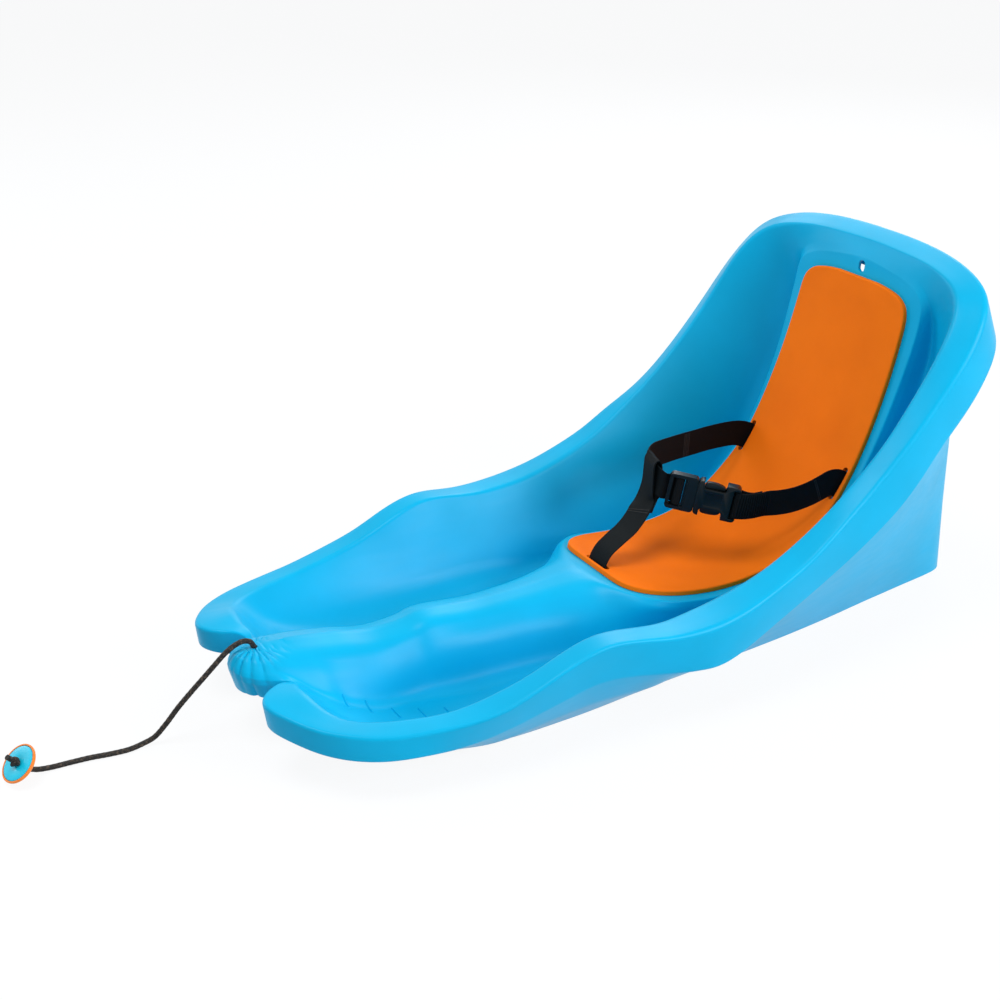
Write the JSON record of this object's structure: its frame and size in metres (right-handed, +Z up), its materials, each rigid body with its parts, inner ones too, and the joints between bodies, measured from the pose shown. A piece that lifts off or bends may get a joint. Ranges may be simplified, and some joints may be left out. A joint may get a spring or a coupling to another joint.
{
  "type": "baby pull sled",
  "caption": "Moulded baby pull sled with two leg troughs, high bucket backrest, foam seat pad, buckled belt with crotch strap, and a short tow rope with a round handle.",
  "frame": {"origin": "middle of the part's box at floor level, measured without the tow rope and its knots", "axes": "-Y towards the nose and the tow rope, +Y towards the backrest, +Z up, the middle plane at X = 0"},
  "size_m": [0.4142, 1.0592, 0.3863],
  "materials": {
    "hull_plastic": "satin, fine moulded grain",
    "pad_foam": "matt closed-cell foam",
    "webbing": "woven",
    "buckle_plastic": "satin",
    "rope_cord": "braided",
    "handle_blue": "satin",
    "handle_orange": "satin"
  },
  "bodies": {
    "sled": {"hull": "hull_plastic", "seat_pad": "pad_foam", "lap_strap_left": "webbing", "lap_strap_right": "webbing", "crotch_strap": "webbing", "buckle_socket": "buckle_plastic", "strap_stop_left": "buckle_plastic", "strap_stop_right": "buckle_plastic", "strap_stop_front": "buckle_plastic", "tow_rope": "rope_cord", "rope_knot_inner": "rope_cord", "rope_knot_outer": "rope_cord"},
    "plug": {"buckle_plug": "buckle_plastic"},
    "prong_upper": {"plug_prong_upper": "buckle_plastic"},
    "prong_lower": {"plug_prong_lower": "buckle_plastic"},
    "handle": {"handle_face": "handle_blue", "handle_rim": "handle_orange"}
  },
  "joints": [
    {"name": "buckle_release", "type": "slide", "parent": "sled", "child": "plug", "axis": [-0.6344, -0.7525, 0.1771], "range_m": [0, 0.032], "deforming": ["lap_strap_left"]},
    {"name": "prong_upper_press", "type": "hinge", "parent": "plug", "child": "prong_upper", "pos_m": [0.0287, 0.20281, 0.15522], "axis": [-0.7645, 0.6446, 0.0001], "range_deg": [0, 7], "stiffness_Nm_per_rad": 0.05},
    {"name": "prong_lower_press", "type": "hinge", "parent": "plug", "child": "prong_lower", "pos_m": [0.02602, 0.19965, 0.13219], "axis": [0.7645, -0.6446, -0.0001], "range_deg": [0, 7], "stiffness_Nm_per_rad": 0.05},
    {"name": "handle_spin", "type": "hinge", "parent": "sled", "child": "handle", "pos_m": [-0.02917, -0.51473, 0.01849], "axis": [0.118, -0.6482, 0.7523], "continuous": true}
  ],
  "couplings": [
    {"joint": "prong_lower_press", "follows": "prong_upper_press", "ratio": 1}
  ]
}
